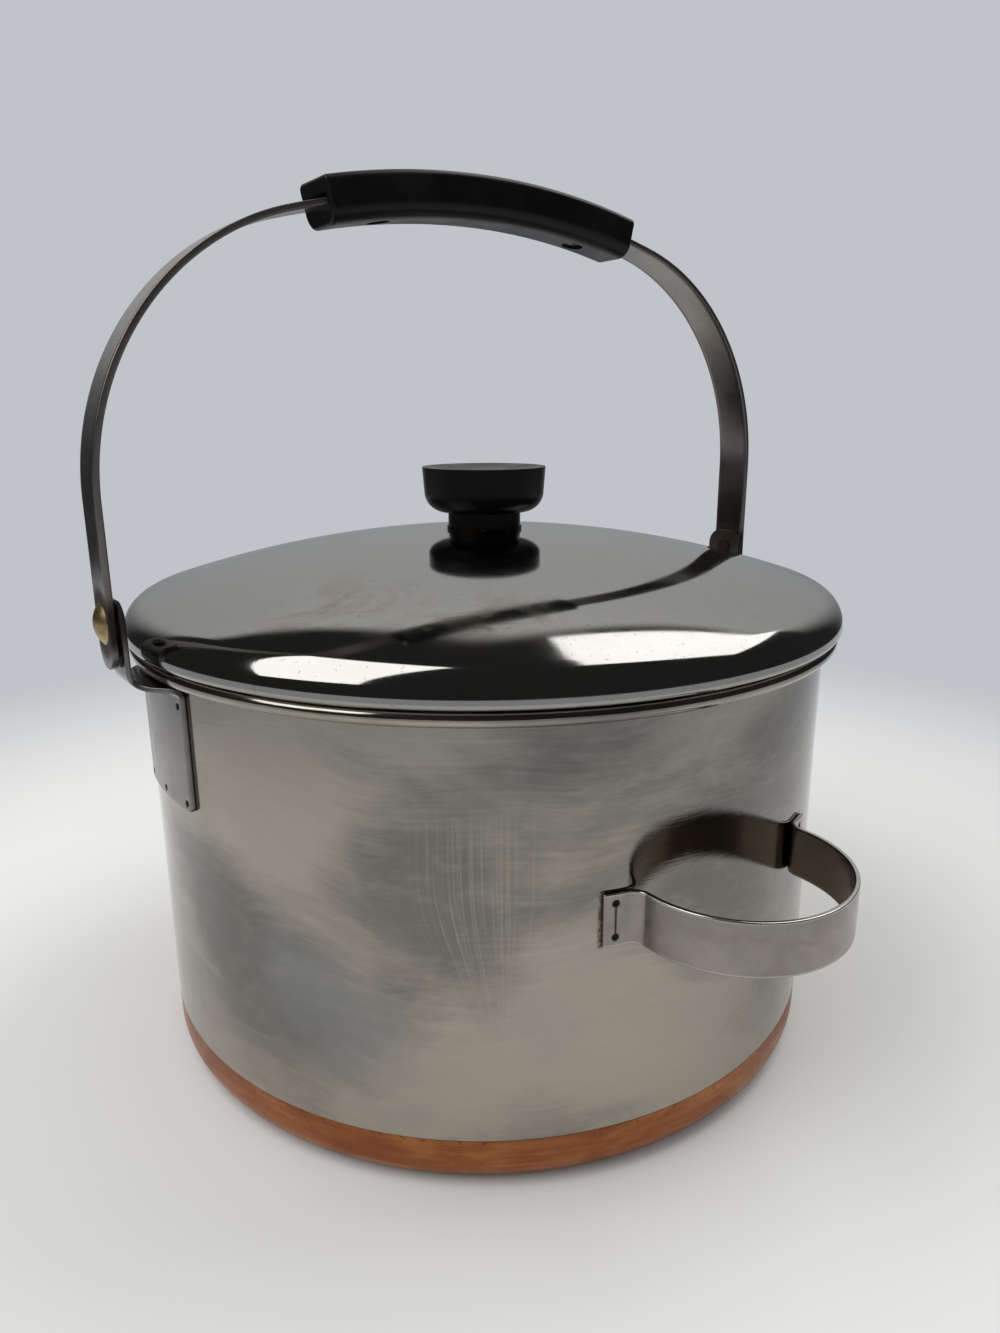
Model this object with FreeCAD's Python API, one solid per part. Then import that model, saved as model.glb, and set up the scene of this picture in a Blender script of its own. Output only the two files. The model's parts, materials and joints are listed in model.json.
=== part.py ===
import FreeCAD, Part
import math
import os

# Soup kettle: a straight-sided steel pot with a copper-clad base and a rolled rim, a domed lid
# with a moulded knob, a flat strap bail with a two-piece moulded grip, and a strap loop for
# tilting the pot. Millimetres. The origin is the middle of the base on the floor, +Z is up,
# +X runs along the bail's pivot line, and the tilting handle is on the -Y side.

V = FreeCAD.Vector

# Pot
POT_RADIUS = 127.0
POT_HEIGHT = 155.5
POT_WALL = 1.2
BASE_CORNER = 9.0
RIM_ROLL = 2.5
RIM_FLAT = 1.0
RIM_TUCK_GAP = 0.5
COPPER_HEIGHT = 17.4
COPPER_THICKNESS = 0.5

# Lid
LID_SHEET = 1.0
LID_OVERHANG = 6.0
LID_RISE = 29.4
LID_KNUCKLE = 10.4
LID_EDGE_ROLL = 2.2
LID_SEAT_GAP = 0.2
LID_SKIRT_DEPTH = 8.5
LID_SKIRT_CLEARANCE = 1.0
LID_SKIRT_BEND = 2.0

# Knob and what fixes it to the lid
KNOB_RADIUS = 23.4
KNOB_TAPER = 1.2
KNOB_CUP_HEIGHT = 16.7
KNOB_CUP_CORNER = 7.5
KNOB_NECK_RADIUS = 13.8
KNOB_NECK_HEIGHT = 5.6
KNOB_DISH_DEPTH = 1.2
KNOB_DISH_LIP = 1.6
FERRULE_THICKNESS = 1.0
FERRULE_LEDGE = 0.5
KNOB_SCREW_RADIUS = 2.5
KNOB_SCREW_REACH = 8.0
KNOB_SCREW_HEAD_RADIUS = 4.6
KNOB_SCREW_HEAD_HEIGHT = 2.8
KNOB_WASHER_RADIUS = 7.0
KNOB_WASHER_THICKNESS = 1.0
KNOB_INSERT_WALL = 2.0

# Ears that carry the bail
EAR_SHEET = 1.6
EAR_LID_GAP = 4.8
EAR_WIDTH = 18.5
EAR_TOP_CORNER = 6.5
EAR_TOP_ABOVE_PIVOT = 7.3
EAR_PAD_WIDTH = 41.0
EAR_PAD_HEIGHT = 40.1
EAR_PAD_CORNER = 2.0
EAR_LOWER_BEND = 2.4
EAR_UPPER_BEND = 5.0
EAR_RIM_GAP = 0.7
EAR_WELD_INSET = 2.7
PIVOT_ABOVE_RIM = 13.2

# Bail strap, its rivets and washers
STRAP_WIDTH = 15.6
STRAP_THICKNESS = 2.1
STRAP_TAIL = 14.5
BAIL_LEG = 37.0
BAIL_SHOULDER = 88.5
BAIL_CROWN_RISE = 7.2
RIVET_RADIUS = 3.0
RIVET_HEAD_RADIUS = 6.5
RIVET_HEAD_HEIGHT = 2.6
RIVET_PEEN_RADIUS = 3.6
RIVET_PEEN_HEIGHT = 1.3
PIVOT_WASHER_RADIUS = 6.4
PIVOT_WASHER_THICKNESS = 0.6

# Grip
GRIP_LENGTH = 128.0
GRIP_WIDTH = 20.5
GRIP_ABOVE_STRAP = 6.3
GRIP_BELOW_STRAP = 6.0
GRIP_TOP_CORNER = 2.2
GRIP_BOTTOM_CORNER = 5.2
GRIP_END_ROUND = 1.2
GRIP_MOUTH_DEPTH = 4.0
GRIP_MOUTH_HEIGHT = 1.4
GRIP_SCREW_SPACING = 86.0
GRIP_SCREW_RADIUS = 2.0
GRIP_SCREW_HEAD_RADIUS = 3.6
GRIP_SCREW_HEAD_HEIGHT = 2.2
GRIP_SCREW_RECESS = 1.0
GRIP_SCREW_REACH = 3.2
GRIP_INSERT_WALL = 1.0

# Tilting handle
HANDLE_SHEET = 1.5
HANDLE_STRIP = 17.1
HANDLE_TOP_HEIGHT = 98.2
HANDLE_LOOP_RADIUS = 35.2
HANDLE_NECK = 3.6
HANDLE_BEND = 3.0
HANDLE_PAD = 9.0
HANDLE_WELD_SPREAD = 10.8

# Clearances, screw slots and spot weld dents
PIVOT_CLEARANCE = 0.05
WASHER_CLEARANCE = 0.1
SLOT_CLEARANCE = 0.1
SCREW_CLEARANCE = 0.4
THREAD_CLEARANCE = 0.05
TIP_CLEARANCE = 1.0
SCREW_SLOT_WIDTH = 1.2
SCREW_SLOT_DEPTH = 1.1
WELD_RADIUS = 1.7
WELD_DEPTH = 0.5
GROOVE_RADIUS = 0.8
GROOVE_DEPTH = 0.3

# Places that follow from the sizes above
UP = V(0, 0, 1)
OUT = V(1, 0, 0)
ORIGIN = V(0, 0, 0)
TOUCHING = 1e-6
LID_RADIUS = POT_RADIUS + LID_OVERHANG
LID_EDGE_Z = POT_HEIGHT + LID_SEAT_GAP + LID_EDGE_ROLL
LID_TOP_Z = LID_EDGE_Z + LID_RISE
LID_UNDER_Z = LID_TOP_Z - LID_SHEET
KNOB_BASE_Z = LID_TOP_Z + FERRULE_THICKNESS
KNOB_HOLE_RADIUS = KNOB_SCREW_RADIUS + SCREW_CLEARANCE
KNOB_SCREW_SEAT_Z = LID_UNDER_Z - KNOB_WASHER_THICKNESS
KNOB_SCREW_TIP_Z = KNOB_BASE_Z + KNOB_SCREW_REACH
KNOB_INSERT_RADIUS = KNOB_SCREW_RADIUS + KNOB_INSERT_WALL
KNOB_INSERT_Z = KNOB_SCREW_TIP_Z + TIP_CLEARANCE + KNOB_INSERT_WALL
PIVOT_Z = POT_HEIGHT + PIVOT_ABOVE_RIM
EAR_INNER_X = LID_RADIUS + EAR_LID_GAP
EAR_OUTER_X = EAR_INNER_X + EAR_SHEET
EAR_BEYOND_X = EAR_OUTER_X + EAR_SHEET
EAR_SKIN = POT_RADIUS + EAR_SHEET
EAR_SHELF_Z = POT_HEIGHT - 2 * RIM_ROLL - EAR_RIM_GAP - EAR_SHEET / 2
EAR_PAD_Z = EAR_SHELF_Z - EAR_PAD_HEIGHT
EAR_TOP_Z = PIVOT_Z + EAR_TOP_ABOVE_PIVOT
PEEN_X = EAR_INNER_X - RIVET_PEEN_HEIGHT
STRAP_INNER_X = EAR_OUTER_X + PIVOT_WASHER_THICKNESS + WASHER_CLEARANCE
STRAP_OUTER_X = STRAP_INNER_X + STRAP_THICKNESS
RIVET_SEAT_X = STRAP_OUTER_X + WASHER_CLEARANCE
BAIL_HALF_SPAN = STRAP_INNER_X + STRAP_THICKNESS / 2
BAIL_INSET = BAIL_HALF_SPAN - BAIL_SHOULDER
SHOULDER_TURN = math.pi / 2 - 2 * math.atan(BAIL_CROWN_RISE / BAIL_INSET)
CROWN_RADIUS = BAIL_SHOULDER + BAIL_INSET / math.cos(SHOULDER_TURN)
BAIL_APEX_Z = PIVOT_Z + BAIL_LEG + BAIL_SHOULDER + BAIL_CROWN_RISE
CROWN_CENTRE = V(0, 0, BAIL_APEX_Z - CROWN_RADIUS)
CROWN_AXIS = V(0, 1, 0)
STRAP_UNDER_Z = BAIL_APEX_Z - STRAP_THICKNESS / 2
STRAP_OVER_Z = BAIL_APEX_Z + STRAP_THICKNESS / 2
SLOT_HALF = STRAP_WIDTH / 2 + SLOT_CLEARANCE
SLOT_OVER_Z = STRAP_OVER_Z + SLOT_CLEARANCE
GRIP_HALF = GRIP_WIDTH / 2
GRIP_TOP_Z = STRAP_OVER_Z + GRIP_ABOVE_STRAP
GRIP_UNDER_Z = STRAP_UNDER_Z - GRIP_BELOW_STRAP
GRIP_HOLE_RADIUS = GRIP_SCREW_RADIUS + SCREW_CLEARANCE
GRIP_SCREW_SEAT_Z = GRIP_UNDER_Z + GRIP_SCREW_RECESS + GRIP_SCREW_HEAD_HEIGHT
GRIP_SCREW_TIP_Z = SLOT_OVER_Z + GRIP_SCREW_REACH
GRIP_INSERT_RADIUS = GRIP_SCREW_RADIUS + GRIP_INSERT_WALL
GRIP_INSERT_Z = GRIP_SCREW_TIP_Z + TIP_CLEARANCE
HANDLE_SKIN = POT_RADIUS + HANDLE_SHEET
HANDLE_LOW_Z = HANDLE_TOP_HEIGHT - HANDLE_STRIP


class Trace:
    """A chain of straight runs and arcs, each tangent to the last, in a plane of u and v."""

    def __init__(self, u, v, heading):
        self.ends = [(u, v, math.radians(heading))]
        self.middles = []

    def add(self, middle, end):
        self.middles.append(middle)
        self.ends.append(end)
        return self

    def line(self, length):
        u, v, heading = self.ends[-1]
        return self.add(None, (u + length * math.cos(heading), v + length * math.sin(heading), heading))

    def arc(self, radius, turn):
        """Turns by an angle in degrees, to the left if positive and to the right if negative."""
        u, v, heading = self.ends[-1]
        side = math.copysign(radius, turn)
        centre_u = u - side * math.sin(heading)
        centre_v = v + side * math.cos(heading)

        def at(angle):
            return centre_u + side * math.sin(angle), centre_v - side * math.cos(angle), angle
        swing = math.radians(turn)
        return self.add(at(heading + swing / 2), at(heading + swing))

    def edges_beside(self, side, place):
        """The edges of the line that keeps a distance to the left of the trace."""
        def point(state):
            u, v, heading = state
            return place(u - side * math.sin(heading), v + side * math.cos(heading))
        edges = []
        for start, middle, end in zip(self.ends, self.middles, self.ends[1:]):
            if middle:
                curve = Part.Arc(point(start), point(middle), point(end))
            else:
                curve = Part.LineSegment(point(start), point(end))
            edges.append(curve.toShape())
        return edges

    def band(self, thickness, place):
        """The face of even thickness that has this trace along its middle."""
        left = self.edges_beside(thickness / 2, place)
        right = self.edges_beside(-thickness / 2, place)
        first = Part.LineSegment(right[0].firstVertex(True).Point, left[0].firstVertex(True).Point)
        last = Part.LineSegment(left[-1].lastVertex(True).Point, right[-1].lastVertex(True).Point)
        edges = left + right + [first.toShape(), last.toShape()]
        return Part.Face(Part.Wire(Part.__sortEdges__(edges)))


def upright(u, v):
    """Places a point of an outline in the X-Z plane."""
    return V(u, 0, v)


def crosswise(u, v):
    """Places a point of an outline in the Y-Z plane."""
    return V(0, u, v)


def level(u, v):
    """Places a point of an outline in the X-Y plane."""
    return V(u, v, 0)


def rounded(corners, place):
    """A face with straight sides, each corner (u, v, radius) rounded by its own radius."""
    points = [place(u, v) for u, v, radius in corners]
    joins = []
    for index, corner in enumerate(points):
        radius = corners[index][2]
        back = (points[index - 1] - corner).normalize()
        ahead = (points[(index + 1) % len(points)] - corner).normalize()
        half = back.getAngle(ahead) / 2
        run = radius / math.tan(half)
        bow = (back + ahead).normalize() * (radius / math.sin(half) - radius)
        joins.append((corner + back * run, corner + bow, corner + ahead * run))
    edges = []
    for index, (start, middle, end) in enumerate(joins):
        following = joins[(index + 1) % len(joins)][0]
        if corners[index][2] > 0:
            edges.append(Part.Arc(start, middle, end).toShape())
        if end.distanceToPoint(following) > TOUCHING:
            edges.append(Part.LineSegment(end, following).toShape())
    return Part.Face(Part.Wire(edges))


def mirrored(half):
    """The corners of a half outline and their mirror image across the line u = 0."""
    return half + [(-u, v, radius) for u, v, radius in reversed(half)]


def turned(face):
    """A full turn of a face in the X-Z plane about the pot's axis."""
    return face.revolve(ORIGIN, UP, 360)


def disc(radius, low, high):
    """A round plate or pin on the pot's axis."""
    return Part.makeCylinder(radius, high - low, V(0, 0, low), UP)


def pivot_disc(radius, low, high):
    """A round plate or pin on the right-hand pivot line."""
    return Part.makeCylinder(radius, high - low, V(low, 0, PIVOT_Z), OUT)


def other_side(shape):
    """The same piece at the left-hand pivot."""
    return shape.copy().rotate(ORIGIN, UP, 180)


def screw_slot(radius, low):
    """The driver slot across the underside of a screw head."""
    slot = Part.makeBox(2 * radius, SCREW_SLOT_WIDTH, SCREW_SLOT_DEPTH)
    return slot.translate(V(-radius, -SCREW_SLOT_WIDTH / 2, low))


def weld_dent(arc_length, height, skin, facing):
    """A shallow round dent in a welded pad, at an arc length round the pot from a facing angle."""
    ball = (WELD_RADIUS ** 2 + WELD_DEPTH ** 2) / (2 * WELD_DEPTH)
    angle = math.radians(facing) + arc_length / skin
    reach = skin - WELD_DEPTH + ball
    return Part.makeSphere(ball, V(reach * math.cos(angle), reach * math.sin(angle), height))


def make_copper_base():
    trace = Trace(0, COPPER_THICKNESS / 2, 0)
    trace.line(POT_RADIUS - BASE_CORNER).arc(BASE_CORNER - COPPER_THICKNESS / 2, 90)
    trace.line(COPPER_HEIGHT - BASE_CORNER)
    return turned(trace.band(COPPER_THICKNESS, upright))


def make_pot_shell(copper_base):
    """One sheet from the middle of the base up the wall, rolled over and back under at the rim."""
    roll = RIM_ROLL - POT_WALL / 2
    trace = Trace(0, POT_WALL / 2, 0)
    trace.line(POT_RADIUS - BASE_CORNER).arc(BASE_CORNER - POT_WALL / 2, 90)
    trace.line(POT_HEIGHT - BASE_CORNER - RIM_ROLL).arc(roll, -90).line(RIM_FLAT).arc(roll, -180)
    trace.line(roll + RIM_FLAT - POT_WALL / 2 - RIM_TUCK_GAP)
    return turned(trace.band(POT_WALL, upright)).cut(copper_base)


def ear_plan():
    """The ear seen from above: as wide as its pad at the wall, drawn in to the ear's width."""
    narrow_x = EAR_INNER_X - EAR_SHEET
    draw = (narrow_x - EAR_SKIN) / 3
    back_x = POT_RADIUS - EAR_PAD_WIDTH / 4
    half = [(EAR_PAD_WIDTH / 2, back_x, 0), (EAR_PAD_WIDTH / 2, EAR_SKIN, draw),
            (EAR_WIDTH / 2, narrow_x, draw), (EAR_WIDTH / 2, EAR_BEYOND_X, 0)]
    plan = rounded(mirrored(half), lambda across, out: level(out, across))
    return plan.extrude(UP * EAR_TOP_Z)


def ear_front():
    """The ear seen from outside: the pad's corners below, the ear's round top above."""
    step = EAR_SHELF_Z + EAR_SHEET
    half = [(EAR_PAD_WIDTH / 2, EAR_PAD_Z, EAR_PAD_CORNER), (EAR_PAD_WIDTH / 2, step, 0),
            (EAR_WIDTH / 2, step, 0), (EAR_WIDTH / 2, EAR_TOP_Z, EAR_TOP_CORNER)]
    return rounded(mirrored(half), crosswise).extrude(OUT * EAR_BEYOND_X)


def make_ear():
    """A pad curved to the wall, a shelf under the rim and an upright ear, bent from one sheet."""
    shelf = EAR_INNER_X - POT_RADIUS - EAR_LOWER_BEND - EAR_UPPER_BEND
    trace = Trace(POT_RADIUS + EAR_SHEET / 2, EAR_PAD_Z, 90)
    trace.line(EAR_PAD_HEIGHT - EAR_LOWER_BEND).arc(EAR_LOWER_BEND, -90).line(shelf)
    trace.arc(EAR_UPPER_BEND, 90).line(EAR_TOP_Z - EAR_SHELF_Z - EAR_UPPER_BEND)
    sector = 2 * math.degrees(EAR_PAD_WIDTH / POT_RADIUS)
    strip = trace.band(EAR_SHEET, upright).rotate(ORIGIN, UP, -sector / 2)
    ear = strip.revolve(ORIGIN, UP, sector).common(ear_plan()).common(ear_front())
    side = EAR_PAD_WIDTH / 2 - EAR_WELD_INSET
    lower = EAR_PAD_Z + EAR_WELD_INSET
    upper = EAR_SHELF_Z - EAR_LOWER_BEND - EAR_WELD_INSET
    spots = ((-side, lower), (0, lower), (side, lower), (-side, upper), (side, upper))
    cuts = [weld_dent(across, height, EAR_SKIN, 0) for across, height in spots]
    cuts.append(pivot_disc(RIVET_RADIUS, EAR_INNER_X, EAR_BEYOND_X))
    cuts.append(pivot_disc(RIVET_PEEN_RADIUS, PEEN_X, EAR_INNER_X))
    return ear.cut(cuts)


def make_rivet():
    """A domed head outside the strap, a shank through strap and ear, a peened end inside."""
    ball = (RIVET_HEAD_RADIUS ** 2 + RIVET_HEAD_HEIGHT ** 2) / (2 * RIVET_HEAD_HEIGHT)
    dome_x = RIVET_SEAT_X + RIVET_HEAD_HEIGHT
    head = Part.makeSphere(ball, V(dome_x - ball, 0, PIVOT_Z))
    head = head.common(pivot_disc(2 * RIVET_HEAD_RADIUS, RIVET_SEAT_X, dome_x + RIVET_HEAD_HEIGHT))
    peen = Part.makeCone(RIVET_RADIUS, RIVET_PEEN_RADIUS, RIVET_PEEN_HEIGHT, V(PEEN_X, 0, PIVOT_Z), OUT)
    return head.fuse([pivot_disc(RIVET_RADIUS, EAR_INNER_X, RIVET_SEAT_X), peen])


def make_pivot_washer():
    face_x = EAR_OUTER_X + PIVOT_WASHER_THICKNESS
    hole = pivot_disc(RIVET_RADIUS, EAR_OUTER_X, face_x)
    return pivot_disc(PIVOT_WASHER_RADIUS, EAR_OUTER_X, face_x).cut(hole)


def make_side_handle():
    """A strip welded to the wall at both ends and bowed out between them to a half circle."""
    middle = POT_RADIUS + HANDLE_SHEET / 2
    bend_angle = math.asin((HANDLE_LOOP_RADIUS + HANDLE_BEND) / (middle + HANDLE_BEND))
    end_angle = bend_angle + HANDLE_PAD / middle
    pad_turn = math.degrees(HANDLE_PAD / middle)
    bend_turn = math.degrees(math.pi / 2 - bend_angle)
    foot_x, foot_y = -middle * math.sin(end_angle), -middle * math.cos(end_angle)
    trace = Trace(foot_x, foot_y, -math.degrees(end_angle))
    trace.arc(middle, pad_turn).arc(HANDLE_BEND, -bend_turn).line(HANDLE_NECK)
    trace.arc(HANDLE_LOOP_RADIUS, 180)
    trace.line(HANDLE_NECK).arc(HANDLE_BEND, -bend_turn).arc(middle, pad_turn)
    strip = trace.band(HANDLE_SHEET, level).extrude(UP * HANDLE_STRIP).translate(UP * HANDLE_LOW_Z)
    low = HANDLE_LOW_Z + (HANDLE_STRIP - HANDLE_WELD_SPREAD) / 2
    reach = HANDLE_SKIN - GROOVE_DEPTH + GROOVE_RADIUS
    cuts = []
    for angle in (-(bend_angle + end_angle) / 2, (bend_angle + end_angle) / 2):
        for rise in (0, HANDLE_WELD_SPREAD):
            cuts.append(weld_dent(angle * HANDLE_SKIN, low + rise, HANDLE_SKIN, -90))
        groove_foot = V(reach * math.sin(angle), -reach * math.cos(angle), low)
        cuts.append(Part.makeCylinder(GROOVE_RADIUS, HANDLE_WELD_SPREAD, groove_foot, UP))
    return strip.cut(cuts)


def along_grip(shape, distance):
    """Carries a piece made at the bail's apex along the crown, by an arc length."""
    return shape.copy().rotate(CROWN_CENTRE, CROWN_AXIS, math.degrees(distance / CROWN_RADIUS))


def at_grip_screws(shape):
    """The same piece at each of the grip's two screws."""
    return [along_grip(shape, side * GRIP_SCREW_SPACING / 2) for side in (-1, 1)]


def make_bail_strap():
    shoulder = math.degrees(SHOULDER_TURN)
    half = STRAP_WIDTH / 2
    trace = Trace(-BAIL_HALF_SPAN, PIVOT_Z, 90)
    trace.line(BAIL_LEG).arc(BAIL_SHOULDER, -shoulder).arc(CROWN_RADIUS, 2 * shoulder - 180)
    trace.arc(BAIL_SHOULDER, -shoulder).line(BAIL_LEG)
    strap = trace.band(STRAP_THICKNESS, upright).extrude(CROWN_AXIS * STRAP_WIDTH)
    strap = strap.translate(CROWN_AXIS * -half)
    tail = rounded(mirrored([(half, PIVOT_Z - STRAP_TAIL, half), (half, PIVOT_Z, 0)]), crosswise)
    tail = tail.extrude(OUT * STRAP_THICKNESS).translate(OUT * STRAP_INNER_X)
    strap = strap.fuse([tail, other_side(tail)]).removeSplitter()
    hole = pivot_disc(RIVET_RADIUS + PIVOT_CLEARANCE, STRAP_INNER_X, STRAP_OUTER_X)
    through = disc(GRIP_HOLE_RADIUS, GRIP_UNDER_Z, GRIP_TOP_Z)
    return strap.cut([hole, other_side(hole)] + at_grip_screws(through))


def grip_sweep(half):
    """Half a section of the grip, drawn at the bail's apex, mirrored and swept along the crown."""
    sweep = math.degrees(GRIP_LENGTH / CROWN_RADIUS)
    section = rounded(mirrored(half), crosswise).rotate(CROWN_CENTRE, CROWN_AXIS, -sweep / 2)
    return section.revolve(CROWN_CENTRE, CROWN_AXIS, sweep)


def round_ends(body):
    """Rounds the rim of the grip's two end faces, all but the edge on the parting line."""
    parting = CROWN_RADIUS - STRAP_THICKNESS / 2
    rim = []
    for face in body.Faces:
        if isinstance(face.Surface, Part.Plane) and abs(face.Surface.Axis.y) < TOUCHING:
            for edge in face.Edges:
                middle = edge.CenterOfMass - CROWN_CENTRE
                if abs(math.hypot(middle.x, middle.z) - parting) > TOUCHING:
                    rim.append(edge)
    return body.makeFillet(GRIP_END_ROUND, rim)


def slot_mouth():
    """A wedge that opens the strap's slot upwards at one end of the grip."""
    low = V(0, -SLOT_HALF, STRAP_OVER_Z)
    end = low + OUT * (2 * GRIP_MOUTH_DEPTH)
    wedge = Part.makePolygon([low, end, end + UP * (2 * GRIP_MOUTH_HEIGHT), low])
    solid = Part.Face(wedge).extrude(CROWN_AXIS * (2 * SLOT_HALF))
    return along_grip(solid, GRIP_LENGTH / 2 - GRIP_MOUTH_DEPTH)


def make_grip_upper():
    body = grip_sweep([(GRIP_HALF, STRAP_UNDER_Z, 0), (GRIP_HALF, GRIP_TOP_Z, GRIP_TOP_CORNER)])
    slot = grip_sweep([(SLOT_HALF, STRAP_UNDER_Z, 0), (SLOT_HALF, SLOT_OVER_Z, 0)])
    mouth = slot_mouth()
    bore = disc(GRIP_INSERT_RADIUS, STRAP_OVER_Z, GRIP_INSERT_Z)
    return round_ends(body).cut([slot, mouth, other_side(mouth)] + at_grip_screws(bore))


def make_grip_lower():
    body = grip_sweep([(GRIP_HALF, STRAP_UNDER_Z, 0), (GRIP_HALF, GRIP_UNDER_Z, GRIP_BOTTOM_CORNER)])
    recess_radius = GRIP_SCREW_HEAD_RADIUS + SCREW_CLEARANCE
    recess = disc(recess_radius, GRIP_UNDER_Z - GRIP_SCREW_RECESS, GRIP_SCREW_SEAT_Z)
    hole = disc(GRIP_HOLE_RADIUS, GRIP_SCREW_SEAT_Z, STRAP_OVER_Z)
    return round_ends(body).cut(at_grip_screws(recess) + at_grip_screws(hole))


def make_grip_screws():
    low = GRIP_UNDER_Z + GRIP_SCREW_RECESS
    head = disc(GRIP_SCREW_HEAD_RADIUS, low, GRIP_SCREW_SEAT_Z)
    head = head.cut(screw_slot(GRIP_SCREW_HEAD_RADIUS, low))
    screw = head.fuse(disc(GRIP_SCREW_RADIUS, GRIP_SCREW_SEAT_Z, GRIP_SCREW_TIP_Z))
    return Part.makeCompound(at_grip_screws(screw))


def make_grip_inserts():
    sleeve = disc(GRIP_INSERT_RADIUS, SLOT_OVER_Z, GRIP_INSERT_Z)
    bore = disc(GRIP_SCREW_RADIUS + THREAD_CLEARANCE, SLOT_OVER_Z, GRIP_INSERT_Z)
    return Part.makeCompound(at_grip_screws(sleeve.cut(bore)))


def make_lid_shell():
    """One sheet from the knob's hole over the dome, rolled under at the edge and down as a skirt."""
    middle = LID_SHEET / 2
    reach = LID_RADIUS - LID_KNUCKLE
    turn = 2 * math.atan((LID_RISE - LID_KNUCKLE) / reach)
    crown = LID_KNUCKLE + reach / math.sin(turn) - middle
    start = math.asin(KNOB_HOLE_RADIUS / crown)
    start_z = LID_TOP_Z - middle - crown * (1 - math.cos(start))
    skirt = POT_RADIUS - POT_WALL - LID_SKIRT_CLEARANCE
    seat = LID_RADIUS - LID_EDGE_ROLL - skirt - LID_SKIRT_BEND + LID_SHEET
    trace = Trace(KNOB_HOLE_RADIUS, start_z, -math.degrees(start))
    trace.arc(crown, math.degrees(start - turn)).arc(LID_KNUCKLE - middle, math.degrees(turn) - 90)
    trace.arc(LID_EDGE_ROLL - middle, -90)
    trace.line(seat).arc(LID_SKIRT_BEND - middle, 90).line(LID_SKIRT_DEPTH - LID_SKIRT_BEND)
    return turned(trace.band(LID_SHEET, upright))


def make_lid_knob():
    cup_z = KNOB_BASE_Z + KNOB_NECK_HEIGHT
    top_z = cup_z + KNOB_CUP_HEIGHT
    knob = turned(rounded([
        (0, KNOB_BASE_Z, 0), (KNOB_NECK_RADIUS, KNOB_BASE_Z, 0), (KNOB_NECK_RADIUS, cup_z, 0),
        (KNOB_RADIUS - KNOB_TAPER, cup_z, KNOB_CUP_CORNER), (KNOB_RADIUS, top_z, 0),
        (0, top_z, 0)], upright))
    dish = KNOB_RADIUS - KNOB_DISH_LIP
    ball = (dish ** 2 + KNOB_DISH_DEPTH ** 2) / (2 * KNOB_DISH_DEPTH)
    hollow = Part.makeSphere(ball, V(0, 0, top_z - KNOB_DISH_DEPTH + ball))
    return knob.cut([hollow, disc(KNOB_INSERT_RADIUS, KNOB_BASE_Z, KNOB_INSERT_Z)])


def make_knob_insert():
    bore = disc(KNOB_SCREW_RADIUS + THREAD_CLEARANCE, KNOB_BASE_Z, KNOB_SCREW_TIP_Z + TIP_CLEARANCE)
    return disc(KNOB_INSERT_RADIUS, KNOB_BASE_Z, KNOB_INSERT_Z).cut(bore)


def make_knob_ferrule(lid_shell):
    """A ring under the knob's neck, hollowed to the lid's dome."""
    low = LID_TOP_Z - LID_SHEET / 2
    hole = disc(KNOB_HOLE_RADIUS, low, KNOB_BASE_Z)
    return disc(KNOB_NECK_RADIUS + FERRULE_LEDGE, low, KNOB_BASE_Z).cut([hole, lid_shell])


def make_knob_washer(lid_shell):
    """A washer under the lid, crowned to the dome's inside."""
    hole = disc(KNOB_HOLE_RADIUS, KNOB_SCREW_SEAT_Z, LID_UNDER_Z)
    return disc(KNOB_WASHER_RADIUS, KNOB_SCREW_SEAT_Z, LID_UNDER_Z).cut([hole, lid_shell])


def make_knob_screw():
    low = KNOB_SCREW_SEAT_Z - KNOB_SCREW_HEAD_HEIGHT
    head = disc(KNOB_SCREW_HEAD_RADIUS, low, KNOB_SCREW_SEAT_Z)
    head = head.cut(screw_slot(KNOB_SCREW_HEAD_RADIUS, low))
    return head.fuse(disc(KNOB_SCREW_RADIUS, KNOB_SCREW_SEAT_Z, KNOB_SCREW_TIP_Z))


def build():
    copper_base = make_copper_base()
    ear = make_ear()
    rivet = make_rivet()
    pivot_washer = make_pivot_washer()
    lid_shell = make_lid_shell()
    return {
        "pot_shell": make_pot_shell(copper_base),
        "copper_base": copper_base,
        "ear_right": ear,
        "ear_left": other_side(ear),
        "rivet_right": rivet,
        "rivet_left": other_side(rivet),
        "pivot_washer_right": pivot_washer,
        "pivot_washer_left": other_side(pivot_washer),
        "side_handle": make_side_handle(),
        "bail_strap": make_bail_strap(),
        "grip_upper": make_grip_upper(),
        "grip_lower": make_grip_lower(),
        "grip_screws": make_grip_screws(),
        "grip_inserts": make_grip_inserts(),
        "lid_shell": lid_shell,
        "lid_knob": make_lid_knob(),
        "knob_ferrule": make_knob_ferrule(lid_shell),
        "knob_insert": make_knob_insert(),
        "knob_screw": make_knob_screw(),
        "knob_washer": make_knob_washer(lid_shell),
    }


os.makedirs("parts", exist_ok=True)
for node, shape in build().items():
    shape.exportStep("parts/" + node + ".step")
    print(node, len(shape.Solids), "solids, valid", shape.isValid(), "volume", round(shape.Volume, 1))
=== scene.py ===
import json
from math import asin, atan, atan2, ceil, copysign, cos, hypot, pi, radians, sin, sqrt

import bmesh
import bpy
from bpy.props import FloatProperty, FloatVectorProperty, PointerProperty
from mathutils import Matrix, Vector


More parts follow.
